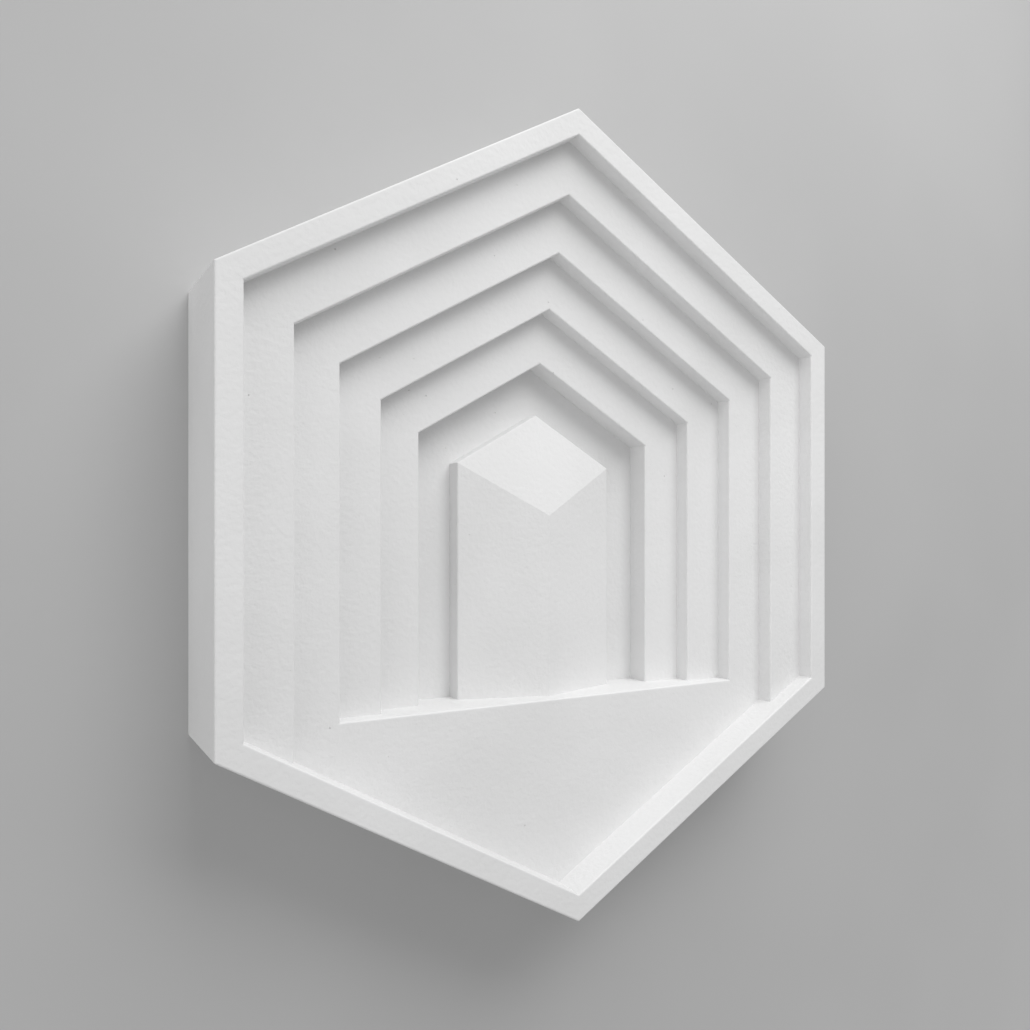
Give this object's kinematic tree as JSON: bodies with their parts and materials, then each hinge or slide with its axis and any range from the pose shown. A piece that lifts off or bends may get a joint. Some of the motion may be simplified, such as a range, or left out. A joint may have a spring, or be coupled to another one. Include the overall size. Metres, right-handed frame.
{
  "type": "3d wall panel tile",
  "caption": "Hexagonal cast wall tile with terraces stepping down inside a flat rim to a ridged pillar and a triangular shelf, bonded by its flat back.",
  "frame": {"origin": "centre of the flat back, which lies on the floor", "axes": "+Z from the back to the front, +Y to the corner that is up on the wall, +X to the right of one facing the wall"},
  "size_m": [0.15, 0.173, 0.025],
  "materials": {
    "gypsum": "matte"
  },
  "bodies": {
    "root": {"relief_tile": "gypsum"}
  },
  "joints": []
}
